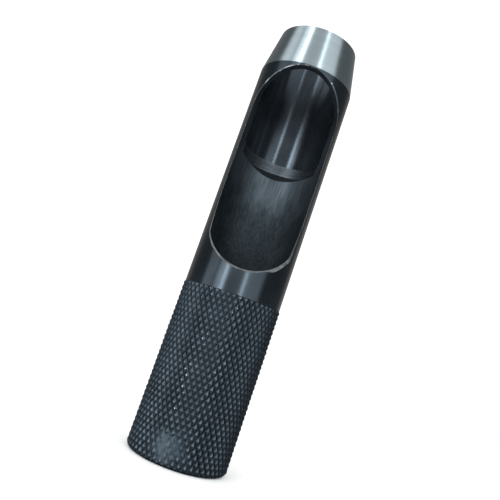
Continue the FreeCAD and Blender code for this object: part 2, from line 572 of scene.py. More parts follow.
@dataclass(frozen=True)
class DeburredEdge:
    """The narrow filed edge round the window, where the oxide is thin."""

    name: str = "deburred_edge"
    bare: Colour = (0.245, 0.256, 0.260, 1.0)
    thin: Colour = (0.120, 0.134, 0.142, 1.0)
    black: Colour = (0.055, 0.066, 0.075, 1.0)
    nick: Colour = (0.620, 0.625, 0.620, 1.0)
    patch: Grain = Grain((420.0, 420.0, 300.0), 13.0, detail=4.0, rough=0.6)
    grain: Grain = Grain((5200.0, 5200.0, 2600.0), 14.0)
    specks: Grain = Grain((1100.0, 1100.0, 800.0), 24.0)
    bare_span: Span = (0.36, 0.56)
    black_span: Span = (0.66, 0.52)
    black_rise: Span = (78.0 * MM, 94.0 * MM)
    nick_span: Span = (0.66, 0.72)
    roughness: Span = (0.28, 0.48)
    grain_depth: float = 4.0e-6
    metallic: float = 0.78

    def make(self) -> Material:
        """Builds grey filed steel with nicks, and with patches of oxide left in its upper part.

        Returns:
            The material.
        """
        m = MaterialMaker(self.name)
        patch, grain = m.noise(self.patch), m.noise(self.grain)
        upper = m.band(m.separate()[2], self.black_rise)
        filed = m.mix(m.band(patch, self.bare_span), self.thin, self.bare)
        edge = m.mix(m.times(upper, m.band(patch, self.black_span)), filed, self.black)
        colour = m.mix(m.band(m.noise(self.specks), self.nick_span), edge, self.nick)
        normal = m.bump(grain, self.grain_depth)
        return m.finish(colour, m.spread(grain, self.roughness), normal, self.metallic)


@dataclass(frozen=True)
class KnurledBlack:
    """Black oxide over the knurl, rubbed on the diamonds' crests, with painted shade in the grooves
    and a painted highlight on one row of crests.
    """

    name: str = "knurled_black"
    # The root colour is painted shade: the knurl is coloured darker the deeper a point lies in a
    # groove.
    root: Colour = (0.016, 0.021, 0.026, 1.0)
    flank: Colour = (0.066, 0.086, 0.106, 1.0)
    crest: Colour = (0.122, 0.148, 0.170, 1.0)
    # Bright crest colour: real wear in random patches, and a painted highlight along the glint row.
    polish_and_glint: Colour = (0.420, 0.440, 0.450, 1.0)
    flat: Colour = (0.030, 0.040, 0.049, 1.0)
    patch: Grain = Grain((230.0, 230.0, 200.0), 15.0, detail=4.0)
    specks: Grain = Grain((1500.0, 1500.0, 1500.0), 16.0)
    grain: Grain = Grain((7000.0, 7000.0, 7000.0), 17.0)
    groove_shade_span: Span = (0.05, 0.60)
    crest_rise: Span = (0.80, 0.98)
    rub_rise: Span = (0.80, 0.94)
    flat_span: Span = (0.2, 0.7)
    patch_span: Span = (0.52, 0.66)
    patch_rub: float = 0.6
    speck_span: Span = (0.42, 0.54)
    roughness: Span = (0.34, 0.48)
    polish: float = 0.20
    grain_depth: float = 3.0e-6
    speck_depth: float = 9.0e-6

    def make(self) -> Material:
        """Builds roots darkened by painted shade, satin flanks, unevenly rubbed crests and a row of
        crests with a painted highlight.

        Returns:
            The material.
        """
        m = MaterialMaker(self.name)
        height, specks, grain = m.attribute(CREST), m.noise(self.specks), m.noise(self.grain)
        # Painted shade: the colour darkens from the flanks down into the grooves.
        flank = m.mix(m.band(height, self.groove_shade_span), self.root, self.flank)
        crest = m.mix(m.band(height, self.crest_rise), flank, self.crest)
        bruised = m.times(m.attribute(BRUISED), m.band(specks, self.flat_span))
        patch = m.times(m.band(m.noise(self.patch), self.patch_span), self.patch_rub)
        # Painted highlight: the glint row brightens and glosses crests where the strip light's
        # reflection falls, added to random worn patches.
        wear_and_glint = m.reckon("MINIMUM", m.plus(patch, m.attribute(GLINT_ROW)), 1.0)
        crest_wear_and_glint = m.times(m.band(height, self.rub_rise), wear_and_glint)
        crest_wear_and_glint = m.times(crest_wear_and_glint, m.band(specks, self.speck_span))
        colour = m.mix(crest_wear_and_glint, m.mix(bruised, crest, self.flat), self.polish_and_glint)
        roughness = m.reckon("SUBTRACT", m.spread(grain, self.roughness), m.times(crest_wear_and_glint, self.polish))
        normal = m.bump(grain, self.grain_depth, m.bump(specks, self.speck_depth))
        return m.finish(colour, roughness, normal, OXIDE_METAL)


@dataclass(frozen=True)
class FacedBlack:
    """Black oxide over the faced end that the mallet strikes."""

    name: str = "faced_black"
    dark: Colour = (0.036, 0.042, 0.048, 1.0)
    light: Colour = (0.085, 0.094, 0.102, 1.0)
    patch: Grain = Grain((240.0, 240.0, 240.0), 18.0, detail=4.0)
    grain: Grain = Grain((5000.0, 5000.0, 5000.0), 19.0)
    patch_span: Span = (0.38, 0.66)
    roughness: Span = (0.30, 0.44)
    ring_pitch: float = 0.22 * MM
    ring_relief: Span = (0.5, 1.0)
    ring_depth: float = 1.6e-6
    grain_depth: float = 3.0e-6

    def make(self) -> Material:
        """Builds facing rings about the axis under a patchy oxide.

        Returns:
            The material.
        """
        m = MaterialMaker(self.name)
        patch = m.noise(self.patch)
        x, y, _ = m.separate()
        reach = m.reckon("SQRT", m.plus(m.times(x, x), m.times(y, y)))
        rings = m.spread(m.reckon("SINE", m.times(reach, TAU / self.ring_pitch)), self.ring_relief)
        colour = m.mix(m.band(patch, self.patch_span), self.dark, self.light)
        normal = m.bump(rings, self.ring_depth, m.bump(m.noise(self.grain), self.grain_depth))
        return m.finish(colour, m.spread(patch, self.roughness), normal, OXIDE_METAL)


@dataclass(frozen=True)
class GroundBright:
    """Bare steel with the circular marks of grinding, as on the cutting bevel."""

    name: str = "ground_bright"
    dark: Colour = (0.535, 0.618, 0.655, 1.0)
    light: Colour = (0.630, 0.712, 0.748, 1.0)
    stain: Colour = (0.200, 0.190, 0.175, 1.0)
    rings: Grain = Grain((50.0, 50.0, 5200.0), 20.0, detail=4.0, rough=0.65)
    broad: Grain = Grain((24.0, 24.0, 1100.0), 21.0)
    cloud: Grain = Grain((190.0, 190.0, 160.0), 22.0, detail=3.0)
    ring_share: float = 0.55
    tone_span: Span = (0.34, 0.66)
    stain_span: Span = (0.66, 0.76)
    stain_strength: float = 0.7
    roughness: Span = (0.30, 0.38)
    ring_depth: float = 0.8e-6
    broad_depth: float = 1.0e-6
    draw: float = 1.0
    metallic: float = 1.0

    def make(self) -> Material:
        """Builds fine rings, a soft uneven sheen and small dark stains.

        Returns:
            The material.
        """
        m = MaterialMaker(self.name)
        rings, broad = m.noise(self.rings), m.noise(self.broad)
        tone = m.blend(rings, self.ring_share, broad)
        bright = m.mix(m.band(tone, self.tone_span), self.dark, self.light)
        stained = m.times(m.band(m.noise(self.cloud), self.stain_span), self.stain_strength)
        colour = m.mix(stained, bright, self.stain)
        normal = m.bump(rings, self.ring_depth, m.bump(broad, self.broad_depth))
        m.draw_out(self.draw)
        return m.finish(colour, m.spread(tone, self.roughness), normal, self.metallic)


@dataclass(frozen=True)
class PaleFloor:
    """A plain pale matt board."""

    name: str = "pale_floor"
    low: Colour = (0.90, 0.90, 0.90, 1.0)
    high: Colour = (0.94, 0.94, 0.94, 1.0)
    mottle: Grain = Grain((35.0, 35.0, 35.0), 23.0, detail=3.0)
    roughness: float = 0.9

    def make(self) -> Material:
        """Builds an almost even white with a faint mottle.

        Returns:
            The material.
        """
        m = MaterialMaker(self.name)
        colour = m.mix(m.noise(self.mottle), self.low, self.high)
        return m.finish(colour, self.roughness, None, 0.0)


# ---------------------------------------------------------------------------------------------
# The barrel with its window
# ---------------------------------------------------------------------------------------------


class BarrelZone(IntEnum):
    """Finish zones of the barrel, numbered as its materials."""

    TURNED = 0
    DEBURRED = 1
    MILLED = 2
    REAMED = 3
    DRILLED = 4


@dataclass
class Window:
    """The milled window: a slot with round ends over a trough that rises to the surface."""

    low: float = 46.7 * MM
    high: float = 98.9 * MM
    half_width: float = 10.75 * MM
    floor: float = 4.7 * MM
    scoop_top: float = 73.5 * MM
    scoop_length: float = 26.8 * MM
    scoop_rise: float = 8.0 * MM
    surface: float = 12.25 * MM
    halvings: int = 40

    @property
    def trough_centre(self) -> float:
        """The y of the line about which the trough's round floor is cut."""
        return self.floor - self.half_width

    @property
    def scoop_radius(self) -> float:
        """The radius on which the scoop rises."""
        return (self.scoop_length**2 + self.scoop_rise**2) / (2.0 * self.scoop_rise)

    def width_at(self, z: np.ndarray) -> np.ndarray:
        """Gives half the window's width: the slot's, or less where its floor runs out.

        Args:
            z: Heights.

        Returns:
            Half the width at each height.
        """
        low_end, high_end = self.low + self.half_width, self.high - self.half_width
        beyond = np.maximum(low_end - z, 0.0) + np.maximum(z - high_end, 0.0)
        slot = np.sqrt(np.maximum(self.half_width**2 - beyond**2, 0.0))
        return np.minimum(slot, self.run_out(z))

    def run_out(self, z: np.ndarray) -> np.ndarray:
        """Finds how far across the floor reaches before it comes out of the barrel's side.

        Args:
            z: Heights.

        Returns:
            Half the floor's width at each height.
        """
        inside = np.zeros_like(z, dtype=float)
        outside = np.full_like(z, self.half_width, dtype=float)
        for _ in range(self.halvings):
            middle = 0.5 * (inside + outside)
            under = self.floor_at(middle, z) > -np.sqrt(self.surface**2 - middle**2)
            inside = np.where(under, middle, inside)
            outside = np.where(under, outside, middle)
        return inside

    def floor_at(self, x: np.ndarray, z: np.ndarray) -> np.ndarray:
        """Gives the floor's y where the slot is open.

        Args:
            x: Places across the tool.
            z: Heights.

        Returns:
            The floor's y at each place.
        """
        reach = np.sqrt(np.maximum(self.half_width**2 - x**2, 0.0))
        trough = self.trough_centre + reach
        centre = self.floor - self.scoop_radius
        arm = self.scoop_radius - self.half_width + reach
        drop = np.maximum(self.scoop_top - z, 0.0)
        scoop = centre + np.sqrt(np.maximum(arm**2 - drop**2, 0.0))
        return np.where(z < self.scoop_top, scoop, trough)


@dataclass
class Bore:
    """The stepped bore: reamed at the mouth, drilled below, with the drill's cone at its end."""

    reamed: float = 10.0 * MM
    drilled: float = 9.75 * MM
    ream_end: float = 79.6 * MM
    drill_end: float = 76.8 * MM
    cone: float = math.radians(59.0)

    @property
    def point(self) -> float:
        """The height of the drill cone's point."""
        return self.drill_end - self.drilled / math.tan(self.cone)

    def radius_at(self, z: float) -> float:
        """Gives the bore's radius.

        Args:
            z: A height.

        Returns:
            The radius there, 0 below the drill's point.
        """
        if z >= self.ream_end:
            return self.reamed
        return min(self.drilled, max(0.0, (z - self.point) * math.tan(self.cone)))


@dataclass
class FiledEdge:
    """The filed edge round the window: wide near its foot, narrow at its top."""

    width: float = 0.30 * MM
    least: float = 0.12 * MM
    at_top: float = 0.20 * MM
    inward: float = 0.55
    foot_right: float = 0.55 * MM
    foot_left: float = 0.30 * MM
    foot_rise: float = 5.0 * MM
    foot_reach: float = 4.5 * MM
    shoulder: float = 0.12 * MM
    shoulder_drop: float = 8.0 * MM
    shoulder_reach: float = 5.0 * MM
    waver: float = 0.16
    top_loss: float = 0.35
    top_reach: float = 3.0 * MM

    def __post_init__(self) -> None:
        """Draws the file's uneven strokes."""
        self.strokes = Ripple(seed=31, waves=60, falloff=0.5)

    def width_at(self, z: np.ndarray, side: int, window: Window) -> np.ndarray:
        """Gives the edge's width along one side of the window.

        Args:
            z: Heights along the rim.
            side: 1 for the +X side, -1 for the other.
            window: The window.

        Returns:
            The width at each height.
        """
        foot = self.foot_right if side > 0 else self.foot_left
        foot = foot * hill(z, window.low + self.foot_rise, self.foot_reach)
        shoulder = self.shoulder * hill(z, window.high - self.shoulder_drop, self.shoulder_reach)
        turn = (z - window.low) / (window.high - window.low) * 0.5 + (0.5 if side > 0 else 0.0)
        strokes = 1.0 + self.waver * self.strokes.at(turn)
        top = 1.0 - self.top_loss * smooth_step(window.high - self.top_reach, window.high, z)
        return np.clip((self.width + foot + shoulder) * strokes * top, self.least, None)


@dataclass
class WindowBarrel:
    """The plain barrel with the window, the trough and the bore."""

    window: Window = field(default_factory=Window)
    bore: Bore = field(default_factory=Bore)
    filed: FiledEdge = field(default_factory=FiledEdge)
    around: int = 144
    wall_steps: int = 7
    trough_steps: int = 30
    end_rows: int = 29
    low_rows: int = 22
    lip_rows: int = 27
    drilled_rows: int = 15
    step_rows: Span = (0.03 * MM, 0.06 * MM)
    high_rows: int = 14
    plain_rows: int = 10
    plain_gap: float = 1.2 * MM
    bore_step: float = 0.05 * MM
    ring_height: float = 0.01 * MM
    ring_repeat: float = 10.0 * MM
    settle: float = 0.35
    crease: float = math.radians(24.0)

    def __post_init__(self) -> None:
        """Reads the barrel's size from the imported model."""
        low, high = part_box("window_barrel")
        self.base, self.top = low.z, high.z
        self.radius = high.x
        self.window.surface = self.radius
        self.rings = Ripple(seed=32, waves=40, falloff=0.2)

    def heights(self) -> np.ndarray:
        """Lists the slices' heights.

        Returns:
            Heights that lie close together where the shape turns fast.
        """
        w, b = self.window, self.bore
        rise = w.half_width * (1.0 - np.cos(np.linspace(0.0, math.pi / 2.0, self.end_rows)))
        low_end, high_end = w.low + rise, w.high - rise[::-1]
        lip = b.point + w.floor / math.tan(b.cone)
        step = b.ream_end + np.array(self.step_rows)
        rows = [
            low_end,
            np.linspace(low_end[-1], lip, self.low_rows),
            lip + (b.drill_end - lip) * np.linspace(0.0, 1.0, self.lip_rows) ** 2,
            np.linspace(b.drill_end, b.ream_end, self.drilled_rows),
            step,
            np.linspace(step[-1], high_end[0], self.high_rows),
            high_end,
        ]
        return np.unique(np.round(np.concatenate(rows), HEIGHT_DIGITS))

    def bore_radius(self, z: float) -> float:
        """Gives the bore's radius with the drill's uneven rings.

        Args:
            z: A height.

        Returns:
            The radius there.
        """
        if self.bore.drill_end <= z < self.bore.ream_end + self.bore_step:
            return self.bore.drilled + self.ring_height * float(self.rings.at(z / self.ring_repeat))
        return self.bore.radius_at(z)

    def rim(self, z: np.ndarray, side: int) -> tuple[np.ndarray, np.ndarray]:
        """Works out the two lines of the filed edge along one side.

        Args:
            z: Heights of the slices.
            side: 1 for the +X side, -1 for the other.

        Returns:
            The outer line on the barrel as angle and height, and how far in the inner line lies.
        """
        angle = np.arcsin(np.clip(self.window.width_at(z) / self.radius, 0.0, 1.0))
        arc = self.radius * angle
        slope_arc, slope_z = np.gradient(arc), np.gradient(z)
        slope_z[0] = slope_z[-1] = 0.0
        length = np.hypot(slope_arc, slope_z)
        width = self.filed.width_at(z, side, self.window)
        foot = [float(self.filed.width_at(z[:1], each, self.window)[0]) for each in (1, -1)]
        width[0], width[-1] = 0.5 * sum(foot), self.filed.at_top
        outer_arc = arc + width * slope_z / length
        outer_z = z - width * slope_arc / length
        return np.stack([outer_arc / self.radius, outer_z], axis=-1), self.filed.inward * width

    def half_inside(self, z: float, inset: float) -> np.ndarray:
        """Traces a slice's inside from the rim to the middle of its floor, on the +X side.

        Args:
            z: The slice's height.
            inset: How far in from the barrel's surface the wall starts.

        Returns:
            Points as x and y: wall, trough, then bore.
        """
        w = self.window
        width = float(w.width_at(np.array(z)))
        r = self.bore_radius(z)
        meet = self.meeting(r)
        if width >= meet:
            foot = float(w.floor_at(np.array(width), np.array(z)))
        else:
            foot, meet = -math.sqrt(r * r - width * width), width
        rim = min(-math.sqrt(self.radius**2 - width**2) + inset, foot)
        wall = np.linspace(rim, foot, self.wall_steps + 1)
        lean = math.asin(min(width / w.half_width, 1.0)), math.asin(meet / w.half_width)
        trough_x = w.half_width * np.sin(np.linspace(*lean, self.trough_steps + 1))
        trough_y = w.floor_at(trough_x, np.full_like(trough_x, z))
        if width <= meet:
            trough_x[:], trough_y[:] = width, foot
        start = math.atan2(trough_y[-1], trough_x[-1])
        swing = np.linspace(start, math.pi / 2.0, self.around // 2 + 1)
        if meet > 0.0 or (r > 0.0 and width <= 0.0):
            bore = r * np.stack([np.cos(swing), np.sin(swing)], axis=-1)
        else:
            bore = np.repeat([[0.0, trough_y[-1]]], len(swing), axis=0)
        bore[-1, 0] = 0.0
        wall = np.stack([np.full_like(wall, width), wall], axis=-1)
        trough = np.stack([trough_x, trough_y], axis=-1)
        return np.concatenate([wall, trough[1:], bore[1:]])

    def meeting(self, r: float) -> float:
        """Finds where the bore meets the trough's straight part.

        Args:
            r: The bore's radius.

        Returns:
            How far across they meet, 0 where the bore lies clear of the trough.
        """
        w = self.window
        if r <= w.floor:
            return 0.0
        y = (w.trough_centre**2 - w.half_width**2 + r * r) / (2.0 * w.trough_centre)
        return math.sqrt(max(r * r - y * y, 0.0))

    def outer_row(self, right: np.ndarray, left: np.ndarray, z: float) -> np.ndarray:
        """Traces a slice's outside from the right rim round the back to the left rim.

        Args:
            right: Angle and height of the rim on the +X side.
            left: The same on the other side.
            z: The slice's own height.

        Returns:
            Points on the barrel's surface.
        """
        share = np.linspace(0.0, 1.0, self.around + 1)
        angle = right[0] + (TAU - left[0] - right[0]) * share
        height = z + (right[1] - z) * (1.0 - smooth_step(0.0, self.settle, share))
        height += (left[1] - z) * smooth_step(1.0 - self.settle, 1.0, share)
        across, back = self.radius * np.sin(angle), -self.radius * np.cos(angle)
        return np.stack([across, back, height], axis=-1)

    def build(self) -> bpy.types.Object:
        """Builds the barrel as one closed mesh.

        Returns:
            The barrel, with a material for each zone.
        """
        maker = MeshMaker("barrel_skin")
        z = self.heights()
        right, inset_right = self.rim(z, 1)
        left, inset_left = self.rim(z, -1)
        rows = []
        for i, height in enumerate(z):
            outer = self.outer_row(right[i], left[i], float(height))
            inner = []
            for side, inset in ((-1, inset_left[i]), (1, inset_right[i])):
                x, y = self.half_inside(float(height), float(inset)).T
                inner.append(np.column_stack([side * x, y, np.full(len(x), height)]))
            rows.append(np.concatenate([outer, inner[0], inner[1][::-1][1:], outer[:1]]))
        numbers = maker.add_points(np.array(rows))
        maker.add_grid(numbers, self.zones(z))
        self.close_ends(maker, numbers)
        made = maker.cleaned()
        finishes = (TurnedBlack(), DeburredEdge(), MilledBlack(), ReamedBlack(), DrilledBlack())
        return finish_mesh(made, "barrel_skin", [f.make() for f in finishes], self.crease)

    def zones(self, z: np.ndarray) -> np.ndarray:
        """Gives the finish of each quad between the slices.

        Args:
            z: Heights of the slices.

        Returns:
            Zone numbers by slice and by place round the loop.
        """
        side = (
            [BarrelZone.DEBURRED]
            + [BarrelZone.MILLED] * (self.wall_steps + self.trough_steps)
            + [BarrelZone.REAMED] * (self.around // 2)
        )
        loop = np.array([BarrelZone.TURNED] * self.around + side + side[::-1], dtype=int)
        zones = np.tile(loop, (len(z) - 1, 1))
        rough = 0.5 * (z[1:] + z[:-1]) < self.bore.ream_end
        zones[np.ix_(rough, loop == BarrelZone.REAMED)] = BarrelZone.DRILLED
        return zones

    def close_ends(self, maker: MeshMaker, numbers: np.ndarray) -> None:
        """Adds the plain bar below the window, the ring above it and both end faces.

        Args:
            maker: Where the faces are gathered.
            numbers: The slices' point numbers.
        """
        share = np.linspace(0.0, TAU, self.around + 1)
        ring = np.stack([self.radius * np.sin(share), -self.radius * np.cos(share)], axis=-1)
        heights = np.linspace(self.base, self.window.low - self.plain_gap, self.plain_rows)
        rows = np.array([np.column_stack([ring, np.full(len(ring), h)]) for h in heights])
        below = maker.add_points(rows)
        seam = np.vstack([below, numbers[:1, : self.around + 1]])
        maker.add_grid(seam, BarrelZone.TURNED)
        maker.add_face(below[0, :-1][::-1], BarrelZone.TURNED)
        top = maker.add_points(np.column_stack([ring, np.full(len(ring), self.top)])[None])
        maker.add_grid(np.vstack([numbers[-1:, : self.around + 1], top]), BarrelZone.TURNED)
        half = self.around // 2
        start = self.around + 1 + self.wall_steps + self.trough_steps
        inner = numbers[-1, start : start + 2 * half + 1]
        bore_ring = ring[::-1] * (self.bore.reamed / self.radius)
        mouth = maker.add_points(np.column_stack([bore_ring, np.full(len(ring), self.top)])[None])
        maker.add_grid(np.vstack([inner[None], mouth]), BarrelZone.REAMED)
        maker.add_grid(np.vstack([top, mouth[:, ::-1]]), BarrelZone.TURNED)


# ---------------------------------------------------------------------------------------------
# The knurled grip
# ---------------------------------------------------------------------------------------------


class GripZone(IntEnum):
    """Finish zones of the grip, numbered as its materials."""

    KNURL = 0
    FACE = 1


@dataclass(frozen=True)
class Bruise:
    """The dull patch low on the grip, where the knurl is hammered flat."""

    angle: float = math.radians(-12.0)
    rise: float = 4.2 * MM
    half_angle: float = 0.36
    half_height: float = 3.6 * MM
    lobes: tuple[float, float] = (5.0, 0.22)
    notches: tuple[float, float] = (23.0, 0.10)
    steep: float = 1.5
    filled: float = 0.16 * MM
    pressed: float = 0.19 * MM

    def at(self, angle: float, rise: float) -> float:
        """Gives how far the knurl is flat.

        Args:
            angle: Angle round the bar from the window's side.
            rise: Height over the struck face.

        Returns:
            1 in the middle of the patch and 0 well outside it.
        """
        across = (angle - self.angle) / self.half_angle
        along = (rise - self.rise) / self.half_height
        lobes = self.lobes[1] * math.sin(self.lobes[0] * math.atan2(along, across))
        ragged = 1.0 + lobes + self.notches[1] * math.sin(self.notches[0] * angle)
        return math.exp(-(((across**2 + along**2) * ragged) ** self.steep))


@dataclass(frozen=True)
class PaintedGlintRow:
    """The row of crests with a painted highlight, where the left strip light's reflection falls on
    the knurl.
    """

    angle: float = math.radians(-18.5)
    swing: float = math.radians(15.0)
    swing_span: Span = (25.0 * MM, 35.0 * MM)
    low_end: Span = (5.0 * MM, 9.0 * MM)
    high_end: Span = (31.0 * MM, 38.0 * MM)
    half_angle: float = 0.075

    def at(self, angle: float, rise: float) -> float:
        """Gives how strong the painted highlight on the crests is.

        Args:
            angle: Angle round the bar from the window's side.
            rise: Height over the struck face.

        Returns:
            1 in the middle of the row and 0 well outside it.
        """
        middle = self.angle + self.swing * smooth_step(*self.swing_span, rise)
        ends = smooth_step(*self.low_end, rise) * (1.0 - smooth_step(*self.high_end, rise))
        return float(ends * hill(angle, middle, self.half_angle))


@dataclass
class KnurledGrip:
    """The grip: crossed knurling cut into the bar, rounded at the struck end."""

    bruise: Bruise = field(default_factory=Bruise)
    # The row of crests with a painted highlight.
    row: PaintedGlintRow = field(default_factory=PaintedGlintRow)
    starts: int = 52
    repeat: float = 2.52 * MM
    depth: float = 0.40 * MM
    struck_round: float = 1.4 * MM
    land: float = 0.25 * MM
    overrun: float = 0.4 * MM
    uneven_crest: float = 0.10
    swell_round: float = 0.05
    swell_along: float = 0.03
    swell_length: float = 30.0 * MM
    deepest: float = 1.08
    round_cuts: tuple[float, ...] = (0.35, 0.65, 0.95, 1.25)
    cut_reach: float = 0.6 * MM
    end_loss: float = 0.05 * MM
    end_reach: float = 1.6 * MM
    face_rings: tuple[float, ...] = (0.25 * MM, 0.8 * MM, 2.5 * MM)
    crease: float = math.radians(28.0)
    steps: tuple[float, ...] = (0.0, 0.12, 0.36, 0.45, 0.55, 0.64, 0.88)
    hollows: tuple[float, ...] = (1.0, 0.80, 0.20, 0.02, 0.02, 0.20, 0.80)

    def __post_init__(self) -> None:
        """Reads the grip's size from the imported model."""
        low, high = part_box("knurled_grip")
        self.base, self.top = low.z, high.z
        self.radius = high.x
        self.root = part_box("window_barrel")[1].x

    def profile(self, z: np.ndarray) -> np.ndarray:
        """Gives the outline that the struck round and the top chamfer leave.

        Args:
            z: Heights.

        Returns:
            The largest radius at each height.
        """
        left = np.clip(self.struck_round - (z - self.base), 0.0, self.struck_round)
        rounded = self.radius - self.struck_round + np.sqrt(self.struck_round**2 - left**2)
        chamfer = self.root + (self.top - z)
        return np.minimum(rounded, chamfer)

    def lattice(self) -> tuple[np.ndarray, np.ndarray, np.ndarray, np.ndarray]:
        """Lays out the knurl's grid along its two families of grooves.

        Returns:
            Angle, height and depth at each grid point, and the grid's point numbers.
        """
        n = len(self.steps)
        steps, hollows = np.array(self.steps), np.array(self.hollows)
        low = math.floor(2.0 * (self.base - self.overrun) / self.repeat) * n
        high = math.ceil(2.0 * (self.top + self.overrun) / self.repeat) * n
        first = np.arange(self.starts * n)[:, None]
        second = first - np.arange(low, high + 1)[None, :]
        a = first // n + steps[first % n] + 0.0 * second
        b = second // n + steps[second % n]
        angle = math.pi * (a + b) / self.starts
        z = self.repeat * (a - b) / 2.0
        rng = np.random.default_rng(seed=41)
        # Each crest is cut a little lower or higher; the draw covers more cells than the grip has.
        cells = 4 * self.starts
        lift = rng.uniform(0.0, self.uneven_crest, (self.starts, cells))
        cell = lift[(first // n) % self.starts + 0 * second, (second // n) % cells]
        cut = np.maximum(hollows[first % n] + 0.0 * second, hollows[second % n])
        swell = Ripple(seed=42, waves=5, falloff=0.4)
        uneven = 1.0 + self.swell_round * swell.at(angle / TAU)
        uneven += self.swell_along * swell.at(z / self.swell_length)
        depth = self.depth * np.clip(cut * uneven + cell * (1.0 - cut), 0.0, self.deepest)
        numbers = np.arange(angle.size).reshape(angle.shape)
        return angle, z, depth, numbers

    def build(self) -> bpy.types.Object:
        """Builds the grip as one closed mesh.

        Returns:
            The grip, with the numbers that its finish reads kept at each point.
        """
        angle, z, depth, numbers = self.lattice()
        radius = self.radius - depth
        points = np.stack([radius * np.sin(angle), -radius * np.cos(angle), z], axis=-1)
        corners = self.corners(numbers)
        faces = self.split(corners, depth.reshape(-1))
        mesh = bpy.data.meshes.new("grip_skin")
        mesh.from_pydata(points.reshape(-1, 3).tolist(), [], faces.tolist())
        made = bmesh.new()
        made.from_mesh(mesh)
        bpy.data.meshes.remove(mesh)
        self.cut_rings(made)
        self.fit_profile(made)
        self.close_ends(made)
        bmesh.ops.recalc_face_normals(made, faces=made.faces[:])
        self.mark_crests(made)
        finishes = (KnurledBlack(), FacedBlack())
        return finish_mesh(made, "grip_skin", [f.make() for f in finishes], self.crease)

    def corners(self, numbers: np.ndarray) -> np.ndarray:
        """Gives the four corners of each grid cell, joined round the bar.

        Args:
            numbers: Grid point numbers by first groove family and by difference.

        Returns:
            Corner numbers, four to a cell.
        """
        after = np.roll(numbers, -1, axis=0)
        return np.stack(
            [numbers[:, 1:-1], after[:, 2:], after[:, 1:-1], numbers[:, :-2]], axis=-1
        ).reshape(-1, 4)

    def split(self, corners: np.ndarray, depth: np.ndarray) -> np.ndarray:
        """Splits each cell into two triangles along the line where the grooves' flanks meet.

        Args:
            corners: Corner numbers, four to a cell.
            depth: Depth at each point.

        Returns:
            Triangles.
        """
        d = depth[corners]
        across = np.abs(d[:, 0] - d[:, 2]) >= np.abs(d[:, 1] - d[:, 3])
        first = np.where(across[:, None], corners[:, [0, 1, 2]], corners[:, [1, 2, 3]])
        second = np.where(across[:, None], corners[:, [0, 2, 3]], corners[:, [1, 3, 0]])
        return np.concatenate([first, second])

    def slice_at(
        self, made: bmesh.types.BMesh, faces: list[bmesh.types.BMFace], height: float, drop: int = 0
    ) -> None:
        """Cuts faces across.

        Args:
            made: The mesh.
            faces: The faces that the cut may go through.
            height: The cut's height.
            drop: 1 takes away what is above the cut, -1 what is below, 0 nothing.
        """
        parts = dict.fromkeys(part for f in faces for part in (*f.verts, *f.edges))
        bmesh.ops.bisect_plane(
            made,
            geom=[*parts, *faces],
            dist=ON_PLANE,
            plane_co=(0.0, 0.0, height),
            plane_no=(0.0, 0.0, float(drop or 1)),
            clear_outer=drop != 0,
        )

    def cut_rings(self, made: bmesh.types.BMesh) -> None:
        """Cuts the knurled sheet off at both ends and adds rings where the edges are rounded.

        Args:
            made: The sheet.
        """
        self.slice_at(made, made.faces[:], self.base, -1)
        self.slice_at(made, made.faces[:], self.top, 1)
        rings = [self.base + self.struck_round * (1.0 - math.cos(t)) for t in self.round_cuts]
        for height in [*rings, self.top - self.land]:
            near = [
                f for f in made.faces if abs(f.calc_center_median().z - height) < self.cut_reach
            ]
            self.slice_at(made, near, height)

    def fit_profile(self, made: bmesh.types.BMesh) -> None:
        """Pulls the points inside the rounded outline and hammers the bruise flat.

        Args:
            made: The sheet, cut to length.
        """
        for v in made.verts:
            reach, angle = polar(v.co)
            flat = self.bruise.at(angle, v.co.z - self.base)
            blunt = self.end_loss * hill(v.co.z, self.base, self.end_reach)
            filled = max(reach, self.radius - self.depth + self.bruise.filled * flat)
            crest = self.radius - self.bruise.pressed * flat - blunt
            wanted = float(min(filled, self.profile(v.co.z), crest))
            v.co.x *= wanted / reach
            v.co.y *= wanted / reach

    def close_ends(self, made: bmesh.types.BMesh) -> None:
        """Fills both ends and lays narrow rings inside the struck face.

        Args:
            made: The sheet, fitted to its outline.
        """
        for height in (self.base, self.top):
            loop = [
                e for e in made.edges
                if e.is_boundary and all(abs(v.co.z - height) < AT_END for v in e.verts)
            ]
            filled = bmesh.ops.contextual_create(made, geom=loop)["faces"]
            faces = list(filled)
            for width in self.face_rings if height == self.base else ():
                faces += bmesh.ops.inset_region(made, faces=filled, thickness=width)["faces"]
            for f in faces:
                f.material_index = GripZone.FACE

    def mark_crests(self, made: bmesh.types.BMesh) -> None:
        """Keeps each point's height between root and crest, where it is flat, and where the crests
        carry a painted highlight.

        Args:
            made: The closed grip.
        """
        crest, bruised, rubbed = (
            made.verts.layers.float.new(name) for name in (CREST, BRUISED, GLINT_ROW)
        )
        for v in made.verts:
            reach, angle = polar(v.co)
            v[crest] = min(1.0, max(0.0, 1.0 - (self.radius - reach) / self.depth))
            v[bruised] = self.bruise.at(angle, v.co.z - self.base)
            # Painted highlight: the row of crests that is coloured bright.
            v[rubbed] = self.row.at(angle, v.co.z - self.base)


# ---------------------------------------------------------------------------------------------
# The cutting nose
# ---------------------------------------------------------------------------------------------


class NoseZone(IntEnum):
    """Finish zones of the nose, numbered as its materials."""

    GROUND = 0
    REAMED = 1


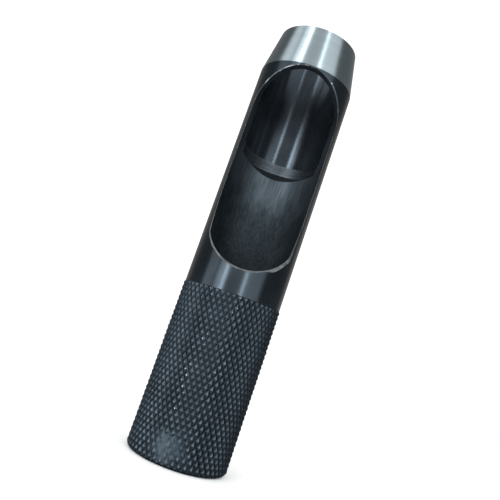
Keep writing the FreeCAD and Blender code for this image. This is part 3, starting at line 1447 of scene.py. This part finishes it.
@dataclass
class CuttingNose:
    """The ground bevel that runs up to a sharp ring round the bore."""

    around: int = 240
    rows: int = 36
    inner_rows: int = 12
    inner_start: float = 0.05
    land: float = 0.25 * MM
    edge: float = 0.05 * MM
    edge_step: float = 0.01 * MM
    nick_depth: float = 0.02 * MM
    nick_from: float = 0.9
    nick_reach: float = 0.6 * MM
    crease: float = math.radians(20.0)

    def __post_init__(self) -> None:
        """Reads the nose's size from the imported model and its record."""
        low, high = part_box("cutting_nose")
        self.base, self.top = low.z, high.z
        self.radius = high.x
        bore = next(m for m in frame["record"]["mounts"] if m["name"] == "bore")
        self.bore = bore["dims"]["r_mm"] * MM

    def outline(self) -> list[tuple[float, float]]:
        """Traces the nose from the bevel's foot over the cutting edge and down the bore.

        Returns:
            Radius and height of each ring, the last one back at the bevel's foot.
        """
        tip, tall = self.bore + self.land, self.top - self.base
        bevel = [
            (self.radius + (tip - self.radius) * s, self.base + tall * s)
            for s in np.linspace(0.0, 1.0, self.rows + 1)[:-1]
        ]
        rim = [(tip + self.edge_step, self.top - self.edge), (tip - self.edge, self.top)]
        rim += [(self.bore + self.edge, self.top), (self.bore, self.top - self.edge)]
        shares = np.linspace(self.inner_start, 1.0, self.inner_rows)
        inside = [(self.bore, self.top - tall * s) for s in shares]
        return [*bevel, *rim, *inside, (self.radius, self.base)]

    def build(self) -> bpy.types.Object:
        """Builds the nose as one closed mesh.

        Returns:
            The nose, ground outside and black inside.
        """
        maker = MeshMaker("nose_skin")
        turn = np.linspace(0.0, 1.0, self.around + 1)
        nick = np.abs(Ripple(seed=51, waves=48, falloff=0.35).at(turn)) - self.nick_from
        nick = self.nick_depth * np.clip(nick, 0.0, None)
        outline = self.outline()
        rows = []
        for reach, height in outline:
            drop = nick * smooth_step(self.top - self.nick_reach, self.top, height)
            across, back = reach * np.sin(TAU * turn), -reach * np.cos(TAU * turn)
            rows.append(np.column_stack([across, back, height - drop]))
        # The bevel and the three steps over the cutting edge are ground, the bore's wall isn't.
        ground = np.arange(len(outline) - 1) < self.rows + 3
        zones = np.where(ground, NoseZone.GROUND, NoseZone.REAMED)
        maker.add_grid(maker.add_points(np.array(rows)), zones[:, None])
        finishes = (GroundBright(), ReamedBlack(name="reamed_black_nose"))
        materials = [f.make() for f in finishes]
        return finish_mesh(maker.cleaned(), "nose_skin", materials, self.crease)


# ---------------------------------------------------------------------------------------------
# The studio
# ---------------------------------------------------------------------------------------------


@dataclass(frozen=True)
class SoftBox:
    """A flat soft light that stands round the tool and faces it.

    Its azimuth and width are degrees about the tool's axis, and its ends are heights.
    """

    name: str
    azimuth: float
    width: float
    high: float
    glow: float
    tint: tuple[float, float, float]
    low: float = -0.30
    distance: float = 0.7

    def place(self) -> bpy.types.Object:
        """Makes the light.

        Returns:
            The light, hidden from the camera.
        """
        turn = math.radians(self.azimuth)
        span = 2.0 * self.distance * math.tan(math.radians(self.width) / 2.0)
        tall = self.high - self.low
        lamp = bpy.data.lights.new(self.name, "AREA")
        lamp.shape, lamp.size, lamp.size_y = "RECTANGLE", span, tall
        lamp.energy = self.glow * span * tall * math.pi
        lamp.color = self.tint
        light = bpy.data.objects.new(self.name, lamp)
        across, back = self.distance * math.sin(turn), -self.distance * math.cos(turn)
        light.location = (across, back, 0.5 * (self.low + self.high))
        light.rotation_euler = (math.pi / 2.0, 0.0, turn)
        light.visible_camera = False
        bpy.context.scene.collection.objects.link(light)
        return light


@dataclass
class Studio:
    """The floor, the lights, the surroundings and the camera.

    The lens and the sensor are millimetres, and angles are degrees.
    """

    floor_half: float = 6.0
    lens: float = 41.0
    sensor: float = 36.0
    camera_distance: float = 0.14165
    camera_height: float = 0.03145
    camera_azimuth: float = 1.12
    aim_turn: float = -0.23
    aim_up: float = 8.74
    roll: float = 19.13
    shift: Span = (-0.0012, 0.0008)
    clip: Span = (0.005, 100.0)
    room: Colour = (1.0, 1.0, 1.0, 1.0)
    room_glow: float = 1.2
    gloss: Colour = (0.90, 0.96, 1.0, 1.0)
    gloss_glow: float = 0.14

    def soft_boxes(self) -> tuple[SoftBox, ...]:
        """Lists the soft lights.

        Returns:
            The lights, their azimuths counted from the window's side towards +X.
        """
        cool, warm = (0.93, 0.98, 1.0), (1.0, 0.88, 0.74)
        return (
            SoftBox("strip_left", -30.5, 8.0, 0.45, 8.5, cool),
            SoftBox("strip_left_edge", -41.0, 13.0, 0.45, 2.6, cool),
            SoftBox("strip_right", 16.8, 6.5, 0.45, 6.4, cool),
            SoftBox("glow_front", 0.0, 114.0, 0.90, 0.70, cool),
            SoftBox("glow_right", 42.0, 38.0, 0.70, 0.75, cool),
            SoftBox("glow_left", -68.0, 24.0, 0.70, 1.3, cool),
            SoftBox("back_left", -154.0, 52.0, 0.90, 0.14, warm),
            SoftBox("back_right", 158.0, 44.0, 0.90, 0.20, warm),
        )

    def build(self) -> None:
        """Sets the floor, the lights, the surroundings and the camera."""
        self.lay_floor()
        for box in self.soft_boxes():
            box.place()
        self.surround()
        self.aim_camera()
        scene = bpy.context.scene
        scene.view_settings.view_transform = "Standard"
        scene.view_settings.look = "None"

    def lay_floor(self) -> None:
        """Lays the pale floor under the tool."""
        half = self.floor_half
        mesh = bpy.data.meshes.new("floor")
        corners = [(-half, -half, 0.0), (half, -half, 0.0), (half, half, 0.0), (-half, half, 0.0)]
        mesh.from_pydata(corners, [], [(0, 1, 2, 3)])
        mesh.materials.append(PaleFloor().make())
        floor = bpy.data.objects.new("floor", mesh)
        floor.visible_glossy = False
        floor.visible_shadow = False
        bpy.context.scene.collection.objects.link(floor)

    def surround(self) -> None:
        """Sets the room: bright to look at and to light the floor, dim in the steel's gloss."""
        world = bpy.data.worlds.new("room")
        bpy.context.scene.world = world
        world.use_nodes = True
        tree = world.node_tree
        tree.nodes.clear()
        path = tree.nodes.new("ShaderNodeLightPath")
        mix = tree.nodes.new("ShaderNodeMixShader")
        output = tree.nodes.new("ShaderNodeOutputWorld")
        tree.links.new(path.outputs["Is Glossy Ray"], mix.inputs[0])
        tree.links.new(mix.outputs[0], output.inputs["Surface"])
        lights = ((self.room, self.room_glow), (self.gloss, self.gloss_glow))
        for place, (colour, glow) in enumerate(lights, start=1):
            light = tree.nodes.new("ShaderNodeBackground")
            light.inputs["Color"].default_value = colour
            light.inputs["Strength"].default_value = glow
            tree.links.new(light.outputs[0], mix.inputs[place])

    def aim_camera(self) -> None:
        """Sets the camera in front of the tool, low and rolled."""
        data = bpy.data.cameras.new("camera")
        data.lens, data.sensor_width = self.lens, self.sensor
        data.shift_x, data.shift_y = self.shift
        data.clip_start, data.clip_end = self.clip
        camera = bpy.data.objects.new("camera", data)
        turn = Matrix.Rotation(math.radians(self.camera_azimuth), 4, "Z")
        spot = turn @ Vector((0.0, -self.camera_distance, self.camera_height))
        aim = turn @ Matrix.Rotation(math.radians(self.aim_turn), 4, "Z")
        tilt = Matrix.Rotation(math.radians(90.0 + self.aim_up), 4, "X")
        rolled = Matrix.Rotation(math.radians(self.roll), 4, "Z")
        camera.matrix_world = Matrix.Translation(spot) @ aim @ tilt @ rolled
        bpy.context.scene.collection.objects.link(camera)
        bpy.context.scene.camera = camera


# ---------------------------------------------------------------------------------------------
# The whole tool
# ---------------------------------------------------------------------------------------------


def seat(piece: bpy.types.Object, node: str) -> None:
    """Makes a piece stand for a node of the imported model.

    Args:
        piece: The detailed piece.
        node: The node that it replaces.
    """
    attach(piece, BODY)
    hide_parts(node)
    triangles = sum(len(p.vertices) - 2 for p in piece.data.polygons)
    log.info("%s: %d triangles, %d open edges", piece.name, triangles, open_edges(piece.data))


def main() -> None:
    """Builds the tool and its studio."""
    logging.basicConfig(level=logging.INFO, format="%(name)s: %(message)s")
    seat(KnurledGrip().build(), "knurled_grip")
    seat(WindowBarrel().build(), "window_barrel")
    seat(CuttingNose().build(), "cutting_nose")
    Studio().build()


if __name__ == "__main__":
    main()
